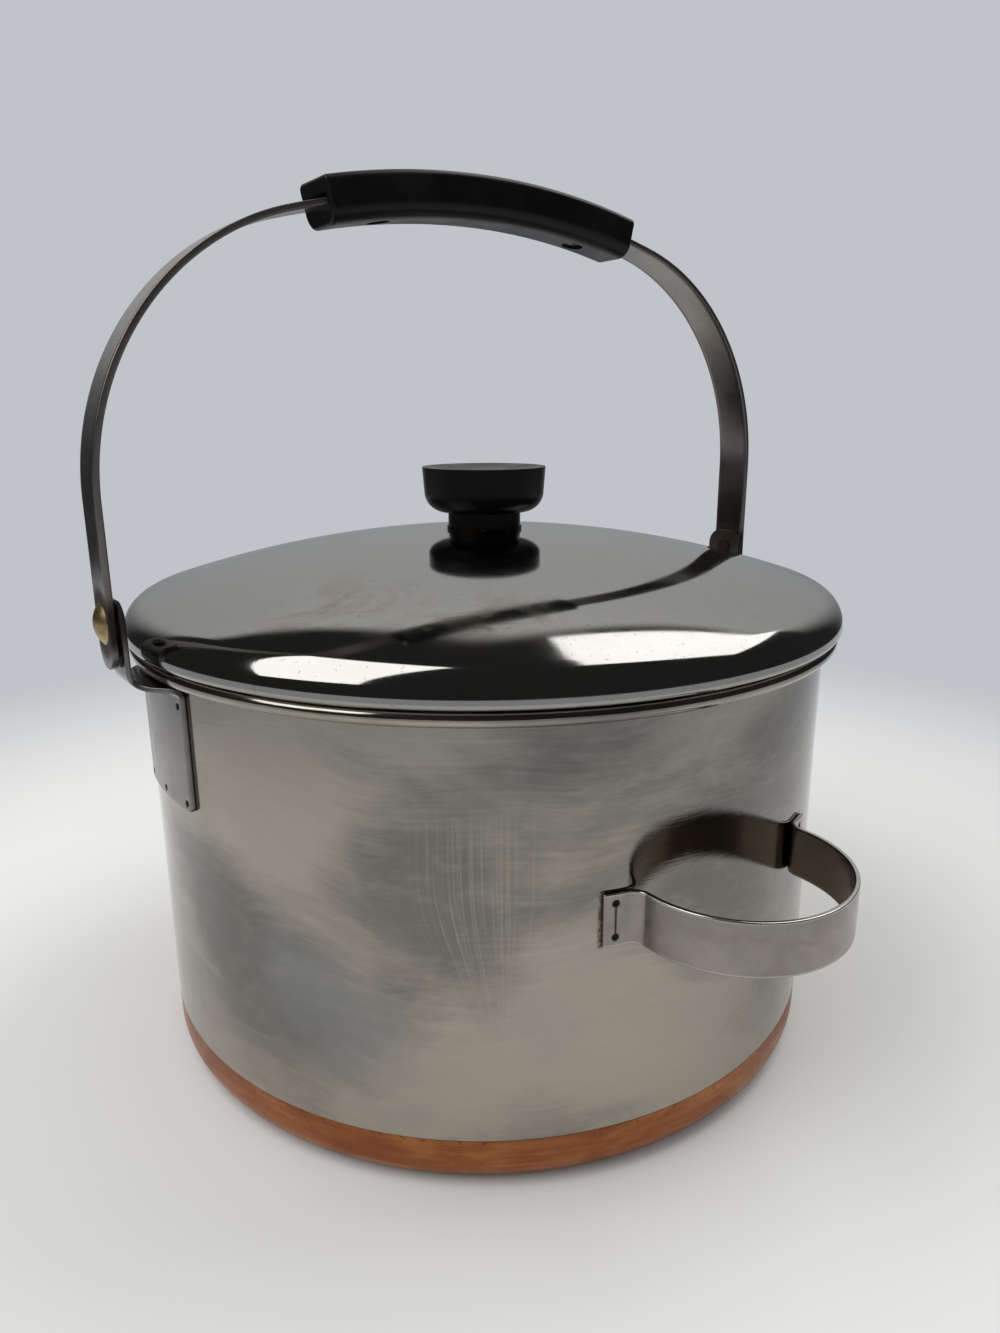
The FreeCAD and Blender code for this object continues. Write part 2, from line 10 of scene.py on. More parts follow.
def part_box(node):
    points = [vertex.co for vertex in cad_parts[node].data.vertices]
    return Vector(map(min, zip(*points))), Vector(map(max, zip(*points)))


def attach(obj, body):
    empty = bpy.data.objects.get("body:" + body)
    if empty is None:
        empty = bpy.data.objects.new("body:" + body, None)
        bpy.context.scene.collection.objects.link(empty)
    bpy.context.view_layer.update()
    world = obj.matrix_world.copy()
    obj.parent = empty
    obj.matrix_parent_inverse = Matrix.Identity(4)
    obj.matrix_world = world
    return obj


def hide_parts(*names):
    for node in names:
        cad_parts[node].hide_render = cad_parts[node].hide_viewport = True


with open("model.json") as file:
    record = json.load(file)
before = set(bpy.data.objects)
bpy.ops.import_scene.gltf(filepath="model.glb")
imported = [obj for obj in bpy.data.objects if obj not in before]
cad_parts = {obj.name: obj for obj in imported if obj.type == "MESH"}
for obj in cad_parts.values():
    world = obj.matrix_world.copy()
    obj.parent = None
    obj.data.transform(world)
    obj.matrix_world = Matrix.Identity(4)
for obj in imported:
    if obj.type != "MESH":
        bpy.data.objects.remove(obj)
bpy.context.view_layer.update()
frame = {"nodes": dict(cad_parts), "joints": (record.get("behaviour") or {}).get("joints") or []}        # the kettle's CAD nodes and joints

bl_info = {
    "name": "Soup kettle",
    "version": (1, 0, 0),
    "blender": (4, 5, 0),
    "location": "View3D > Sidebar > Kettle",
    "description": "Dresses a copper-bottomed steel soup kettle and sets it in a plain studio",
    "category": "Object",
}

# Places that come from the frame
COPPER_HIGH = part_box("copper_base")[1]
POT_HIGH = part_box("pot_shell")[1]
LID_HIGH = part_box("lid_shell")[1]
EAR_LOW, EAR_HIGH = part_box("ear_right")
STRAP_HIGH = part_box("bail_strap")[1]
HANDLE_LOW, HANDLE_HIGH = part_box("side_handle")
POT_RADIUS = COPPER_HIGH.x
PIVOT_Z = next(joint["pos_m"][2] for joint in frame["joints"] if joint["name"] == "bail_hinge")

# Units, and how finely pieces are cut: sides of a full turn, columns across a strip, steps of a bend
MM = 0.001
QUARTER = pi / 2
TOUCHING = 1e-7
HAIR = 0.05 * MM
POT_SIDES = 256
LID_SIDES = 320
FLOOR_SIDES = 128
EAR_COLUMNS = 82
HANDLE_COLUMNS = 34
STRAP_COLUMNS = 10
LEAST_STEPS = 6
EDGE_STEPS = 4
NOSE_STEPS = 6

# The widest rounding of a strip's edge, against its thickness and half its width
EDGE_OF_THICKNESS = 0.48
EDGE_OF_HALF = 0.9

# The share of the ear's upper bend where it is still narrowing
EAR_DRAWN = 0.7

# The wall out of round: waves in a full turn, each one's share of the wobble, and its start
WOBBLE_WAVES = ((2, 1.0, 0.7), (3, 0.5, -0.4), (7, 0.25, -QUARTER))

# The lid's extra fall in its finish: radii where it starts, is steepest and ends, and slope per metre
LID_FALL_START = 80 * MM
LID_FALL_EDGE = 125.75 * MM
LID_FALL_END = 130.6 * MM
LID_FALL = 3.7

# The soft boxes, which face the lid at this height, with lengths in metres
LID_MIDDLE_Z = 170 * MM
LEFT_SOFT_BOX = {"turn": radians(-69.75), "rise": radians(51.7), "tilt": radians(-59.8),
                 "distance": 1.893, "width": 2.126, "height": 1.139}
RIGHT_SOFT_BOX = {"turn": radians(120.6), "rise": radians(53.6), "tilt": radians(-16.6),
                  "distance": 2.275, "width": 1.285, "height": 1.502}

# The backdrop as the metal mirrors it: its soft sides, how they flare upwards, and its soft sloped top
BACKDROP_SIDE = (0.66, 0.95)
BACKDROP_FLARE = 0.45
BACKDROP_TOP = (-0.27, -0.21)
BACKDROP_SLOPE = 1.1

# Marks on wall and lid: places in the part's frame with the reach of each mark, all in millimetres
WALL_PALE_PLACES = (((-114, -55, 136), 48), ((-116, -52, 116), 30), ((-53, -116, 64), 46),
                    ((-22, -125, 50), 58), ((-89, -91, 26), 40))
WALL_CLEAN_PLACES = (((-124, -28, 83), 34), ((-118, -47, 62), 38), ((-91, -89, 105), 36),
                     ((3, -127, 88), 40), ((42, -120, 118), 55))
WALL_HEATED_PLACES = (((-100, -79, 52), 44), ((-113, -58, 70), 30))
LID_STAIN_PLACES = (((-83, -50, 177), 34), ((-58, -85, 175), 26), ((82, -20, 178), 30),
                    ((20, 70, 181), 30))

# The fan of upright lines on the wall: its directions seen from above, then its place and widths
FAN_ACROSS = Vector((0.811, -0.583))
FAN_OUTWARD = Vector((-0.583, -0.811))
FAN_FOOT = 6 * MM
FAN_LEAN = 6.5 * MM
FAN_NECK = 1.5 * MM
FAN_SPREAD = 11.5 * MM


def length(name, description, millimetres):
    return FloatProperty(name=name, description=description, default=millimetres * MM, unit="LENGTH",
                         precision=4)


def angle(name, description, degrees):
    return FloatProperty(name=name, description=description, default=radians(degrees),
                         subtype="ANGLE")


def amount(name, description, default):
    return FloatProperty(name=name, description=description, default=default, min=0)


def colour(name, description, default):
    return FloatVectorProperty(name=name, description=description, default=default, size=3, min=0, max=1,
                               subtype="COLOR")


class KettlePot(bpy.types.PropertyGroup):
    """Sizes of the pot's sheet and its copper base"""

    wall: length("Wall", "Thickness of the pot's sheet", 1.2)
    base_corner: length("Base corner", "Outer radius of the corner between base and wall", 9.0)
    rim_roll: length("Rim roll", "Outer radius of the rolled rim", 2.5)
    rim_flat: length("Rim flat", "Flat run between the two bends of the rim", 1.0)
    tuck_gap: length("Tuck gap", "Gap between the rim's tucked edge and the wall", 0.5)
    copper: length("Copper", "Thickness of the copper base", 0.5)
    wobble: length("Wobble", "How far the wall is out of round", 0.12)


class KettleLid(bpy.types.PropertyGroup):
    """Sizes of the lid's sheet"""

    sheet: length("Sheet", "Thickness of the lid's sheet", 1.0)
    rise: length("Rise", "Height of the dome over the lid's widest line", 29.4)
    knuckle: length("Knuckle", "Radius of the dome's shoulder", 10.4)
    edge_roll: length("Edge roll", "Radius of the rolled edge under the shoulder", 2.2)
    skirt_clearance: length("Skirt clearance", "Gap between the lid's skirt and the wall", 1.0)
    skirt_bend: length("Skirt bend", "Radius of the bend into the skirt", 2.0)
    skirt_depth: length("Skirt depth", "Depth of the skirt inside the pot", 8.5)
    hole: length("Hole", "Radius of the hole for the knob's screw", 2.9)


class KettleEar(bpy.types.PropertyGroup):
    """Sizes of the two sheet ears that carry the bail"""

    sheet: length("Sheet", "Thickness of the ear's sheet", 1.6)
    pad_height: length("Pad height", "Height of the welded pad up to the middle of the shelf", 40.1)
    ear_width: length("Ear width", "Width of the upright ear", 18.5)
    lower_bend: length("Lower bend", "Radius of the bend out of the pad", 2.4)
    upper_bend: length("Upper bend", "Radius of the bend up into the ear", 5.0)
    pad_corner: length("Pad corner", "Radius of the pad's lower corners", 2.0)
    top_corner: length("Top corner", "Radius of the ear's upper corners", 6.5)
    weld_inset: length("Weld inset", "Distance of the spot welds from the pad's edges", 2.7)


class KettleHandle(bpy.types.PropertyGroup):
    """Sizes of the tilting handle"""

    sheet: length("Sheet", "Thickness of the handle's strip", 1.5)
    loop_radius: length("Loop radius", "Radius of the loop along the middle of the strip", 35.2)
    neck: length("Neck", "Straight run between the bend and the loop", 2.1)
    bend: length("Bend", "Radius of the bend out of each welded pad", 5.0)
    pad: length("Pad", "Length of each welded pad round the wall", 7.6)
    shift: length("Shift", "How far the handle sits round the wall from square to the bail", 3.0)
    weld_spread: length("Weld spread", "Distance between the two spot welds of a pad", 10.8)


class KettleStrap(bpy.types.PropertyGroup):
    """Sizes of the bail's strap"""

    thickness: length("Thickness", "Thickness of the strap", 2.1)
    tail: length("Tail", "Length of the strap below its pivot", 14.5)
    leg: length("Leg", "Straight length of the strap above its pivot", 37.0)
    shoulder: length("Shoulder", "Radius of the bend over each leg", 88.5)
    crown_rise: length("Crown rise", "Height of the shallow crown over the two shoulders", 7.2)


class KettleEdges(bpy.types.PropertyGroup):
    """How sheet edges and spot welds look"""

    sheet_edge: length("Sheet edge", "Radius of the rubbed edges of the cut sheet", 0.42)
    weld_radius: length("Weld radius", "Radius of a spot weld's dent", 1.35)
    weld_depth: length("Weld depth", "Depth of a spot weld's dent", 0.5)
    groove_width: length("Groove width", "Half width of the groove between the handle's welds", 0.6)
    groove_depth: length("Groove depth", "Depth of the groove between the handle's welds", 0.2)


class KettleColours(bpy.types.PropertyGroup):
    """Colours of the kettle's finishes"""

    wall: colour("Wall steel", "Rubbed steel of the pot's wall", (0.165, 0.158, 0.146))
    wall_pale: colour("Wall haze", "Pale wiped haze on the wall", (0.42, 0.385, 0.325))
    wall_blue: colour("Wall tint", "Blue grey heat tint low on the wall", (0.228, 0.231, 0.232))
    lid: colour("Lid steel", "Polished steel of the lid", (0.315, 0.31, 0.293))
    stain: colour("Stain", "Brown stains and baked-on marks", (0.21, 0.14, 0.08))
    handle: colour("Handle steel", "Steel of the tilting handle", (0.27, 0.25, 0.235))
    strap: colour("Strap steel", "Steel of the bail's strap", (0.215, 0.20, 0.19))
    ear: colour("Ear steel", "Steel of the ears", (0.20, 0.195, 0.187))
    rust: colour("Rust", "Dark brown dirt beside the handle's pads", (0.055, 0.032, 0.016))
    flush: colour("Flush", "Pinkish stains on the handle, the ears and the strap", (0.23, 0.185, 0.175))
    # Besides rubbed wear, this is a painted highlight: strip edges take it the more they face up
    edge: colour("Rubbed edge", "Steel rubbed bright along the edges of strips", (0.56, 0.55, 0.53))
    copper: colour("Copper", "Rubbed copper", (0.42, 0.166, 0.066))
    tarnish: colour("Tarnish", "Brown tarnish on the copper", (0.27, 0.092, 0.038))
    scratch: colour("Scratch", "Bright level scratches on the copper", (0.60, 0.28, 0.15))
    brass: colour("Brass", "Aged brass of the rivets", (0.50, 0.37, 0.19))
    plated: colour("Plated steel", "Bright plated screws and washers", (0.66, 0.66, 0.65))
    phenolic: colour("Phenolic", "Black moulded phenolic", (0.003, 0.003, 0.0036))
    scuff: colour("Scuff", "Grey brown scuffs on the phenolic", (0.04, 0.036, 0.032))
    # Dirt in dents, and also painted shade on down-facing strip edges, round the pivot and at the copper's
    # foot
    soot_and_shade: colour("Soot", "Dark dirt in dents and corners", (0.022, 0.016, 0.012))


class KettleLamp(bpy.types.PropertyGroup):
    """One soft box that faces the lid"""

    turn: angle("Turn", "Angle round the kettle, to the camera's right from the camera", 0.0)
    rise: angle("Rise", "Angle over the level of the lid", 50.0)
    tilt: angle("Tilt", "Turn of the soft box about the line to the lid", 0.0)
    distance: length("Distance", "Distance from the lid", 1000.0)
    width: length("Width", "Width of the soft box", 1000.0)
    height: length("Height", "Height of the soft box", 1000.0)


class KettleStage(bpy.types.PropertyGroup):
    """The camera, the lamps and the floor"""

    distance: length("Distance", "Level distance from the pot's axis to the camera", 362.1)
    height: length("Height", "Height of the camera over the floor", 231.4)
    bearing: angle("Bearing", "Angle of the camera round the pot from the tilting handle", 34.6)
    yaw: angle("Yaw", "Turn of the camera away from the pot's axis", 0.911)
    pitch: angle("Pitch", "How far the camera looks down", 15.384)
    roll: angle("Roll", "Tilt of the camera about its view", -0.281)
    focal: length("Focal length", "Focal length for a sensor 36 mm long", 25.251)
    left: PointerProperty(type=KettleLamp)
    right: PointerProperty(type=KettleLamp)
    lamp: amount("Lamp brightness", "Brightness of the face of each soft box", 3.0)
    fill: amount("Fill", "Even light from the room", 0.60)
    room: amount("Room", "How bright the dim side of the room is in reflections", 0.03)
    backdrop: colour("Backdrop", "Pale wall behind the kettle", (0.53, 0.545, 0.575))
    lower: colour("Lower backdrop", "Backdrop near the floor, as the metal shows it", (0.32, 0.33, 0.343))
    upper: colour("Upper backdrop", "Backdrop high up, as the metal shows it", (1.0, 1.0, 0.98))
    floor: colour("Floor", "Pale table top", (0.74, 0.735, 0.72))
    floor_radius: length("Floor radius", "Radius of the round floor", 2100.0)
    floor_nearer: length("Floor nearer", "How far the floor's middle is nearer than the pot", 1200.0)
    fade_start: length("Fade start", "Radius where the floor starts to fade", 240.0)
    fade_end: length("Fade end", "Radius where the floor has faded away", 620.0)


class KettleSettings(bpy.types.PropertyGroup):
    """All sizes and colours of the kettle"""

    pot: PointerProperty(type=KettlePot)
    lid: PointerProperty(type=KettleLid)
    ear: PointerProperty(type=KettleEar)
    handle: PointerProperty(type=KettleHandle)
    strap: PointerProperty(type=KettleStrap)
    edges: PointerProperty(type=KettleEdges)
    colours: PointerProperty(type=KettleColours)
    stage: PointerProperty(type=KettleStage)


class Shade:
    """A shader socket that takes part in sums, products and comparisons."""

    def __init__(self, nodes, socket):
        self.nodes = nodes
        self.socket = socket

    def maths(self, operation, first, second=0.0):
        return self.nodes.node("ShaderNodeMath", {"operation": operation}, {0: first, 1: second})

    def __add__(self, other):
        return self.maths("ADD", self, other)

    def __sub__(self, other):
        return self.maths("SUBTRACT", self, other)

    def __rsub__(self, other):
        return self.maths("SUBTRACT", other, self)

    def __mul__(self, other):
        return self.maths("MULTIPLY", self, other)

    def __truediv__(self, other):
        return self.maths("DIVIDE", self, other)

    def __pow__(self, other):
        return self.maths("POWER", self, other)

    def __abs__(self):
        return self.maths("ABSOLUTE", self)

    def most(self, other):
        return self.maths("MAXIMUM", self, other)

    def least(self, other):
        return self.maths("MINIMUM", self, other)

    def smooth(self, low, high):
        """0 where this is below low, 1 where it is above high, and smooth between them."""
        return self.nodes.node("ShaderNodeMapRange", {"interpolation_type": "SMOOTHSTEP"},
                               {"Value": self, "From Min": low, "From Max": high})

    def beside(self, name):
        """Another output of the node that this socket belongs to."""
        return Shade(self.nodes, self.socket.node.outputs[name])

    __radd__ = __add__
    __rmul__ = __mul__


class Nodes:
    """The nodes of a material or of the world, written as expressions."""

    def __init__(self, tree):
        self.tree = tree

    def node(self, kind, settings=None, values=None, output=0):
        """Adds a node of a kind, sets it up, feeds its sockets and gives one of its outputs."""
        made = self.tree.nodes.new(kind)
        for key, value in (settings or {}).items():
            setattr(made, key, value)
        for key, value in (values or {}).items():
            self.feed(made.inputs[key], value)
        return Shade(self, made.outputs[output])

    def feed(self, socket, value):
        if isinstance(value, Shade):
            self.tree.links.new(value.socket, socket)
        elif socket.type == "RGBA":
            socket.default_value = (*value, 1.0)
        else:
            socket.default_value = value

    def blend(self, factor, first, second):
        """The first colour where factor is 0, and the second where it is 1."""
        return self.node("ShaderNodeMix", {"data_type": "RGBA"}, {0: factor, 6: first, 7: second}, 2)

    def vector(self, x, y, z):
        return self.node("ShaderNodeCombineXYZ", {}, {"X": x, "Y": y, "Z": z})


class Finish(Nodes):
    """A material on one of the kettle's pieces, in the part's own frame."""

    def __init__(self, name):
        self.material = bpy.data.materials.new(name)
        self.material.use_nodes = True
        super().__init__(self.material.node_tree)
        self.surface = self.tree.nodes["Principled BSDF"]
        self.place = self.node("ShaderNodeTexCoord", {}, {}, "Object")
        self.x = self.node("ShaderNodeSeparateXYZ", {}, {"Vector": self.place})
        self.y = self.x.beside("Y")
        self.z = self.x.beside("Z")

    def noise(self, scale, detail=3.0, roughness=0.55, distortion=0.0, offset=(0.0, 0.0, 0.0), place=None):
        """Soft noise with a number of features per metre along each axis."""
        moved = self.node("ShaderNodeMapping", {},
                          {"Vector": place or self.place, "Location": offset, "Scale": scale})
        return self.node("ShaderNodeTexNoise", {},
                         {"Vector": moved, "Scale": 1.0, "Detail": detail, "Roughness": roughness,
                          "Distortion": distortion})

    def warped(self, scale, reach):
        """The part's place pushed about by soft noise, as far as reach in metres."""
        drift = self.node("ShaderNodeTexNoise", {},
                          {"Vector": self.place, "Scale": scale, "Detail": 2.0}, "Color")
        return self.node("ShaderNodeVectorMath", {"operation": "MULTIPLY_ADD"},
                         {0: drift, 1: (reach, reach, reach), 2: self.place})

    def mark(self, name):
        """A mark painted on the mesh, such as its rubbed edges."""
        return self.node("ShaderNodeAttribute", {"attribute_name": name}, {}, "Fac")

    def spot(self, centre, radius):
        """1 at a point of the part, fading to 0 at a radius."""
        away = self.node("ShaderNodeVectorMath", {"operation": "DISTANCE"},
                         {0: self.place, 1: centre}, "Value")
        return 1 - away.smooth(0.0, radius)

    def spots(self, places):
        """The sum of spots, each a place and a reach in millimetres."""
        return sum(self.spot(Vector(place) * MM, reach * MM) for place, reach in places)

    def bump(self, height, distance):
        """A normal that follows a height, with a distance in metres for each unit of height."""
        return self.node("ShaderNodeBump", {}, {"Height": height, "Distance": distance, "Strength": 1.0})

    def set(self, **values):
        """Feeds the shader's own sockets, named with underscores for spaces."""
        for key, value in values.items():
            self.feed(self.surface.inputs[key.replace("_", " ")], value)
        return self.material


def fan_marks(finish):
    """Upright lines that run together towards the foot of the wall, and the place where they show."""
    across = finish.x * FAN_ACROSS.x + finish.y * FAN_ACROSS.y
    outward = finish.x * FAN_OUTWARD.x + finish.y * FAN_OUTWARD.y
    opened = finish.z.smooth(35 * MM, 105 * MM)
    aside = (across - FAN_FOOT + opened * FAN_LEAN) / (opened * FAN_SPREAD + FAN_NECK)
    fan = 1 - abs(aside).smooth(0.6, 1.8)
    fan = fan * outward.smooth(0.8 * POT_RADIUS, 0.9 * POT_RADIUS)
    fan = fan * finish.z.smooth(30 * MM, 48 * MM)
    fan = fan * (1 - finish.z.smooth(112 * MM, 134 * MM))
    fine = finish.noise((10, 7, 1), 5.0, 0.72, place=finish.vector(aside, finish.z, 0.0))
    return fine.smooth(0.47, 0.66) * fan, fan


def pad_angles(handle):
    """Angles round the wall, from the middle of the handle, to the inner and outer end of a pad."""
    middle = POT_RADIUS + handle.sheet / 2
    inner = asin((handle.loop_radius + handle.bend) / (middle + handle.bend))
    return inner, inner + handle.pad / middle


def pad_dirt(finish, handle):
    """Dark dirt along the ends of the handle's welded pads."""
    end_angle = pad_angles(handle)[1]
    end = POT_RADIUS * sin(end_angle)
    aside = abs(finish.x - handle.shift * cos(end_angle))
    beside = aside.smooth(end - 0.8 * MM, end - 0.2 * MM)
    beside = beside * (1 - aside.smooth(end + 0.5 * MM, end + 1.5 * MM))
    height = finish.z.smooth(HANDLE_LOW.z - MM, HANDLE_LOW.z)
    height = height * (1 - finish.z.smooth(HANDLE_HIGH.z, HANDLE_HIGH.z + MM))
    crumbs = finish.noise((420, 420, 300), 2.0).smooth(0.34, 0.52)
    return beside * height * crumbs * (1 - finish.y.smooth(-110 * MM, -100 * MM))


def wall_finish(colours, handle):
    """Rubbed steel with wipe marks, a fan of upright lines, a heat tint and dirt beside the handle."""
    finish = Finish("wall_rubbed_steel")
    flowing = finish.warped(7.0, 55 * MM)
    swirls = finish.noise((11, 11, 15), 4.0, 0.55, 0.8, (0.6, 2.2, 0.9))
    flow = finish.noise((13, 13, 27), 5.0, 0.62, 0.4, place=flowing)
    streaks = finish.noise((32, 32, 620), 5.0, 0.7, place=flowing)
    clouds = finish.noise((16, 16, 20), 4.0, 0.55, 0.6, (3.1, 0.4, 1.7))
    mottle = finish.noise((75, 75, 130), 5.0, 0.72, 0.5, place=flowing)
    grain = finish.noise((60, 60, 5200), 2.0)
    lines, fan = fan_marks(finish)
    dirt = pad_dirt(finish, handle)
    pale = finish.spots(WALL_PALE_PLACES)
    clean = finish.spots(WALL_CLEAN_PLACES)
    heated = finish.spots(WALL_HEATED_PLACES)
    field = flow * 0.50 + swirls * 0.42 + streaks * 0.08 + pale * 0.15 - clean * 0.15 - fan * 0.04
    haze = field.smooth(0.38, 0.64)
    wiped = streaks.smooth(0.44, 0.70) * (0.25 + haze * 0.75)
    mottled = mottle.smooth(0.46, 0.70)
    # Paler and a little rougher towards the foot of the wall
    low = 1 - finish.z.smooth(22 * MM, 70 * MM)
    tint = (clouds + heated * 0.22).smooth(0.50, 0.74) * (0.25 + heated * 0.75)
    base = finish.blend(haze * 0.70 + low * 0.20, colours.wall, colours.wall_pale)
    base = finish.blend(tint * 0.8, base, colours.wall_blue)
    base = finish.blend(wiped * 0.20 + lines * 0.34 + mottled * 0.16, base, colours.wall_pale)
    base = finish.blend(dirt * 0.95, base, colours.rust)
    rough = 0.06 + haze * 0.06 + low * 0.03 + tint * 0.03 + wiped * 0.03 + lines * 0.05 + dirt * 0.2
    normal = finish.bump(grain + lines + streaks * 0.6, 0.01 * MM)
    return finish.set(Base_Color=base, Metallic=1 - dirt * 0.9, Roughness=rough, Normal=normal)


def lid_finish(colours):
    """Polished steel with fine spokes left by the buffing wheel, smudges and faint brown stains."""
    finish = Finish("lid_polished_steel")
    radius = (finish.x * finish.x + finish.y * finish.y) ** 0.5
    spoke = finish.vector(finish.x / radius, finish.y / radius, radius * 2.0)
    spokes = finish.noise((150, 150, 4), 3.0, 0.6, place=spoke)
    smudge = finish.noise((24, 24, 40), 4.0, 0.6, 0.9)
    clouds = finish.noise((9, 9, 9), 3.0, 0.5, 0.6, (4.0, 1.0, 0.0))
    speck = finish.noise((900, 900, 900), 1.0)
    stain = finish.noise((46, 46, 46), 5.0, 0.65, 1.1, (0.6, 2.0, 0.0))
    stained = stain.smooth(0.42, 0.64) * (0.05 + finish.spots(LID_STAIN_PLACES) * 0.50)
    base = finish.blend(stained, colours.lid, colours.stain)
    base = finish.blend(speck.smooth(0.69, 0.74) * 0.35, base, colours.soot_and_shade)
    rough = 0.045 + smudge.smooth(0.40, 0.70) * 0.035 + clouds.smooth(0.4, 0.7) * 0.03
    rough = rough + stained * 0.2
    fall = (radius - LID_FALL_START).most(0.0).least(LID_FALL_EDGE - LID_FALL_START)
    beyond = (radius - LID_FALL_EDGE).most(0.0).least(LID_FALL_END - LID_FALL_EDGE)
    steepest = LID_FALL * (LID_FALL_EDGE - LID_FALL_START)
    sunk = fall * fall * (LID_FALL / 2) + beyond * steepest
    sunk = sunk - beyond * beyond * (steepest / 2 / (LID_FALL_END - LID_FALL_EDGE))
    normal = finish.bump(spokes * (0.003 * MM) - sunk, 1.0)
    return finish.set(Base_Color=base, Metallic=1.0, Roughness=rough, Normal=normal)


def strip_finish(name, colours, steel, handled, along):
    """Satin strip with burnt spot welds; the more it is handled, the browner inside and the brighter its
    edges, rubbed and lit as a painted highlight.
    """
    finish = Finish(name)
    grain = finish.noise(along, 3.0, 0.6)
    blotch = finish.noise((75, 75, 75), 4.0, 0.6, 0.6)
    clouds = finish.noise((30, 30, 30), 3.0, 0.5, 0.4, (2.0, 1.0, 3.0))
    flush = finish.noise((95, 95, 130), 4.0, 0.6, 0.8, (6.0, 3.0, 1.0))
    nick = finish.noise((520, 520, 520), 2.0).smooth(0.64, 0.74)
    facing = finish.node("ShaderNodeNewGeometry", {}, {}, "Normal")
    up = finish.node("ShaderNodeSeparateXYZ", {}, {"Vector": facing}, "Z")
    rounded = finish.mark("edge")
    # Rubbed edges, weighted towards those that face up: real wear plus a painted highlight
    edge = rounded * (0.35 + up.smooth(-0.5, 0.3) * 0.65)
    pressed = finish.mark("dent").smooth(0.05, 0.22)
    from_pivot = (finish.y * finish.y + (finish.z - PIVOT_Z) ** 2) ** 0.5
    inside = finish.mark("inside")
    # Dirt and painted shade darken the strip round the pivot, less on its inner faces
    pivot_dirt_and_shade = (1 - from_pivot.smooth(8.5 * MM, 13 * MM)) * (1 - inside * 0.8)
    dark = pressed.most(pivot_dirt_and_shade * 0.85)
    base = finish.blend(blotch.smooth(0.35, 0.70) * 0.35, steel, colours.wall)
    base = finish.blend(clouds.smooth(0.42, 0.68) * 0.18, base, colours.wall_pale)
    base = finish.blend(nick * 0.35 + flush.smooth(0.46, 0.64) * 0.45, base, colours.flush)
    # The handle's inner faces are made browner and darker
    base = finish.blend(inside * (0.5 * handled), base, colours.stain)
    # Rubbed wear and painted highlight: handled edges take the pale edge colour
    base = finish.blend(edge * (0.8 * handled), base, colours.edge)
    # Painted shade: edges that face down are darkened
    base = finish.blend(rounded * (1 - up.smooth(-0.7, -0.1)) * 0.7, base, colours.soot_and_shade)
    # Burnt welds go dark, and so does the dirt with painted shade round the pivot
    base = finish.blend(dark * 0.95, base, colours.soot_and_shade)
    rough = 0.16 + blotch.smooth(0.3, 0.7) * 0.08 + grain * 0.06 + edge * (0.16 - 0.21 * handled)
    rough = rough + dark * 0.45
    normal = finish.bump((grain + blotch * 2.0) * (1 - rounded), 0.014 * MM)
    return finish.set(Base_Color=base, Metallic=1.0, Roughness=rough, Normal=normal)


def copper_finish(colours):
    """Rubbed copper with brown tarnish, level scratches, dark specks along the joint with the wall, and
    painted shade at its foot.
    """
    finish = Finish("copper_rubbed")
    blotch = finish.noise((26, 26, 60), 5.0, 0.62, 1.0)
    streak = finish.noise((34, 34, 900), 3.0, 0.6)
    grain = finish.noise((70, 70, 6000), 2.0)
    speck = finish.noise((640, 640, 640), 2.0, 0.6)
    joint = finish.z.smooth(COPPER_HIGH.z - 5 * MM, COPPER_HIGH.z)
    # Painted shade: the copper darkens towards the floor
    under = 1 - finish.z.smooth(1.5 * MM, 6 * MM)
    worn = (blotch * 0.75 + streak * 0.25).smooth(0.36, 0.66)
    dark = speck.smooth(0.57, 0.70) * (0.06 + joint * 0.40) + under * 0.35
    base = finish.blend(1 - worn, colours.copper, colours.tarnish)
    base = finish.blend(streak.smooth(0.60, 0.74) * 0.25, base, colours.scratch)
    base = finish.blend(dark, base, colours.soot_and_shade)
    rough = 0.30 + (1 - worn) * 0.14 + dark * 0.2
    normal = finish.bump(grain + streak * 2.0 + blotch * 3.0, 0.014 * MM)
    return finish.set(Base_Color=base, Metallic=1.0, Roughness=rough, Normal=normal)


def brass_finish(name, colours, age, darker_within=None):
    """Turned brass, brown and dull with age, and darker and duller nearer to the pot's axis than the given
    distance.
    """
    finish = Finish(name)
    blotch = finish.noise((300, 300, 300), 4.0, 0.6, 0.6)
    scratch = finish.noise((2400, 260, 260), 2.0)
    old = (blotch.smooth(0.34, 0.66) * 0.6 + 0.4) * age
    base = finish.blend(old * 0.75, colours.brass, colours.stain)
    rough = 0.24 + old * 0.18 + scratch.smooth(0.55, 0.7) * 0.1
    if darker_within:
        # Darker and duller inside the ear, nearer to the pot's axis
        dirt = 1 - abs(finish.x).smooth(darker_within - 0.4 * MM, darker_within + 0.4 * MM)
        base = finish.blend(dirt * 0.88, base, colours.soot_and_shade)
        rough = rough + dirt * 0.25
    normal = finish.bump(scratch + blotch, 0.01 * MM)
    return finish.set(Base_Color=base, Metallic=1.0, Roughness=rough, Normal=normal)


def plated_finish(name, colours, age):
    """Plated steel with fine turning marks, the more dirty and dull the older it is."""
    finish = Finish(name)
    marks = finish.noise((1800, 1800, 300), 2.0)
    blotch = finish.noise((220, 220, 220), 3.0, 0.6)
    dull = (blotch.smooth(0.30, 0.62) * 0.3 + 0.7) * age
    base = finish.blend(dull * 0.9, colours.plated, colours.soot_and_shade)
    normal = finish.bump(marks, 0.008 * MM)
    return finish.set(Base_Color=base, Metallic=1.0, Roughness=0.16 + dull * 0.25, Normal=normal)


